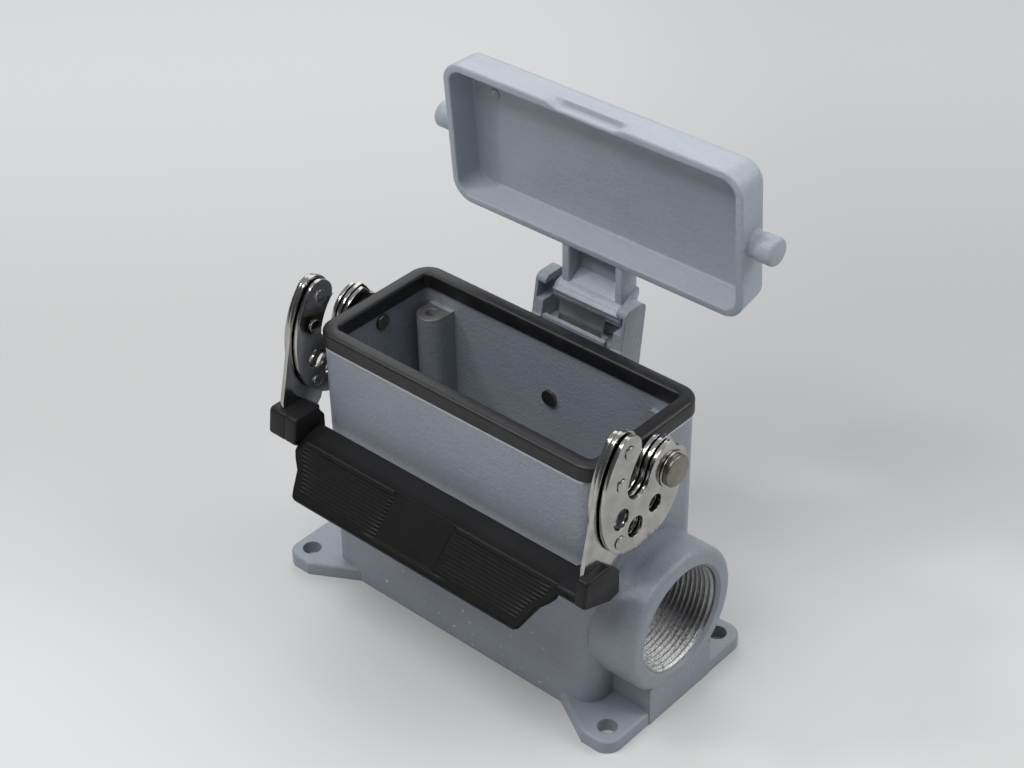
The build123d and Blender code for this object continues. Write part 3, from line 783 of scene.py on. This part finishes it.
steel = rolled_steel("bright_steel", bright_dark, bright_light, bright_roughness)
for side in ("right", "left"):
    eased(f"pivot_peg_{side}", f"pivot_peg_eased_{side}", peg_edge, dull_steel, "body")
    eased(f"peg_washer_{side}", f"peg_washer_eased_{side}", washer_edge, steel, "body")


# Locking lever's cam plates: two stamped stainless discs riveted on both sides of the arm. Their
# hook swings over the cover's peg and pulls it down. Tumbling has rounded all their edges.
plate_edge = 0.32
rivet_edge = 0.2
for side in ("right", "left"):
    for name in ("inner_disc", "arm", "outer_disc"):
        eased(f"lever_{name}_{side}", f"{name}_eased_{side}", plate_edge, steel, "lever")
    for name in ("rivet_1", "rivet_2", "rivet_3"):
        eased(f"lever_{name}_{side}", f"{name}_eased_{side}", rivet_edge, steel, "lever")


# Grip: black moulded bar across both arms, with fine lengthwise ribs on the outer thirds of its
# sloping face and a smooth field in the middle. A socket at each end is moulded round the arm.
grip_corners = [(-23.4, 53.7), (-31.2, 52.2), (-41.8, 41.0), (-40.1, 38.9), (-28.0, 46.8),
                (-23.4, 49.6)]
grip_radii = [1.4, 1.2, 1.0, 1.0, 2.0, 1.2]
grip_heights = [38.9, 39.4, 40.2, 41.4, 43.0, 46.4, 48.3, 49.6]
grip_half_lengths = [35.9, 37.5, 38.9, 40.0, 40.9, 42.4, 44.8, 46.0]
grip_end_reach = 0.8
grip_end_edge = 0.6
grip_section_points = 340
outer_stations = ((-1, -0.94, 14), (-0.93, -0.26, 12), (-0.25, -0.22, 5))
middle_stations = (-0.2, 0.2, 9)
field_half_length = 10.4
field_depth = 0.35
field_edge = 0.5
field_margin = 0.2
field_foot = 1.0
field_fade = 0.4
facing_from = 0.97
facing_fade = 0.02
rib_pitch = 1.05
rib_height = 0.30
rib_foot = 0.12
ribs_start = 1.5
ribs_end = 12.6
ribs_end_inset = 3.6
ribs_end_fade = 0.6


def grip_bar():
    """Section softened at its corners, walked in equal steps and carried along X. The length
    shrinks towards the lip, and a wave across the sloping face makes the ribs outside the field.
    Both ends are drawn in along the section's normals by a quarter circle."""
    section = softened(grip_corners, grip_radii)
    closed = np.concatenate([section, section[:1]])
    length = np.concatenate([[0], np.cumsum(np.linalg.norm(np.diff(closed, axis=0), axis=1))])
    at = np.linspace(0, length[-1], grip_section_points, endpoint=False)
    walked = [np.interp(at, length, closed[:, 0]), np.interp(at, length, closed[:, 1])]
    spread = np.stack(walked, -1)
    outward = outward_of(spread)
    ridge = np.array(grip_corners[1])
    lip = np.array(grip_corners[2])
    down = (lip - ridge) / np.linalg.norm(lip - ridge)
    face_normal = np.array([down[1], -down[0]])
    way = (spread - ridge) @ down
    facing = np.clip((outward @ face_normal - facing_from) / facing_fade, 0, 1)
    wave = 0.5 - 0.5 * np.cos(2 * np.pi * (way - ribs_start) / rib_pitch)
    on_face = facing * (way > ribs_start) * (way < ribs_end)
    left = np.concatenate([np.linspace(*run) for run in outer_stations])
    x = np.concatenate([left, np.linspace(*middle_stations), -left[::-1]])
    half = np.interp(spread[:, 1], grip_heights, grip_half_lengths)
    place_x = half[None, :] * x[:, None]
    side = np.clip((np.abs(place_x) - field_half_length) / field_edge, 0, 1)
    to_end = half[None, :] - ribs_end_inset - np.abs(place_x)
    ribbed = side * np.clip(to_end / ribs_end_fade, 0, 1)
    bump = (rib_height * wave[None, :] - rib_foot) * on_face[None, :] * ribbed
    below_ridge = np.clip((way + field_margin) / field_fade, 0, 1)
    above_lip = np.clip((ribs_end + field_foot - way) / field_fade, 0, 1)
    sunk = facing * below_ridge * above_lip
    bump = bump - field_depth * sunk[None, :] * (1 - side)
    points = spread[None] + outward[None] * bump[..., None]
    end = np.clip((1 - np.abs(x)) * grip_half_lengths[-1] / grip_end_reach, 0, 1)
    inset = grip_end_edge * (1 - np.sqrt(1 - (1 - end) ** 2))[:, None, None]
    points = points - outward[None] * inset
    return np.concatenate([place_x[..., None], points], -1)


moulding_black = (0.004, 0.004, 0.0042, 1)
moulding_hazy = (0.009, 0.009, 0.0095, 1)
moulding_top_tone = (0.020, 0.020, 0.021, 1)
lighter_top_from = (0.0520, 0.0528)
haze_scale = 90.0
moulding_grain_scale = 3000.0
moulding_grain_depth = 0.00003
moulding_roughness = 0.27
haze_roughness = 0.12
moulding_grain_roughness = 0.08

moulded, shader, place = finish("black_moulding", Specular_IOR_Level=0.16)
haze = noise(place, haze_scale, 4.0, 0.6)
fine = noise(place, moulding_grain_scale, 2.0)
# The grip's colour is lighter on its top, above 52 mm.
lighter_top = place.part(2).between(*lighter_top_from)
tone = blended(haze, moulding_black, moulding_hazy)
feed(shader, "Base Color", blended(lighter_top * (0.5 + haze * 0.5), tone, moulding_top_tone))
roughness = moulding_roughness + haze * haze_roughness + fine * moulding_grain_roughness
feed(shader, "Roughness", roughness)
feed(shader, "Normal", raised(fine, moulding_grain_depth))
grip = skin("grip_bar", grip_bar(), wrap_columns=True, caps=(0, -1), sharp=60.0)
wear(grip, moulded, "lever")
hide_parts("lever_grip")

socket_top = [(-24.6, 59.1), (-33.0, 59.1)]
low_socket_top = [(-24.6, 54.4), (-32.4, 53.2)]
socket_foot = [(-34.1, 51.1), (-24.1, 47.5)]
socket_back_low = 48.1
socket_back_high = 55.4
socket_back_drop = 1.0
socket_radii = [1.4, 1.4, 1.4, 1.2, 0.9, 0.6]
socket_edge = 0.7
socket_edge_points = 5
for side, part, top, back, start, end in (
    ("right", "outer", socket_top, -20.3, 51.9, 55.4),
    ("right", "inner", low_socket_top, -22.3, 45.2, 52.2),
    ("left", "outer", socket_top, -20.3, 49.15, 55.4),
    ("left", "inner", socket_top, -22.3, 45.2, 49.6),
):
    back_top = min(top[0][1] - socket_back_drop, socket_back_high)
    socket_back = [(back, socket_back_low), (back, back_top)]
    socket_outline = softened(top + socket_foot + socket_back, socket_radii)
    points = slab(socket_outline, start, end, socket_edge, socket_edge_points)
    points[..., 0] *= 1 if side == "right" else -1
    piece = skin(f"grip_socket_{part}_{side}", points, wrap_columns=True, caps=(0, -1))
    wear(piece, moulded, "lever")
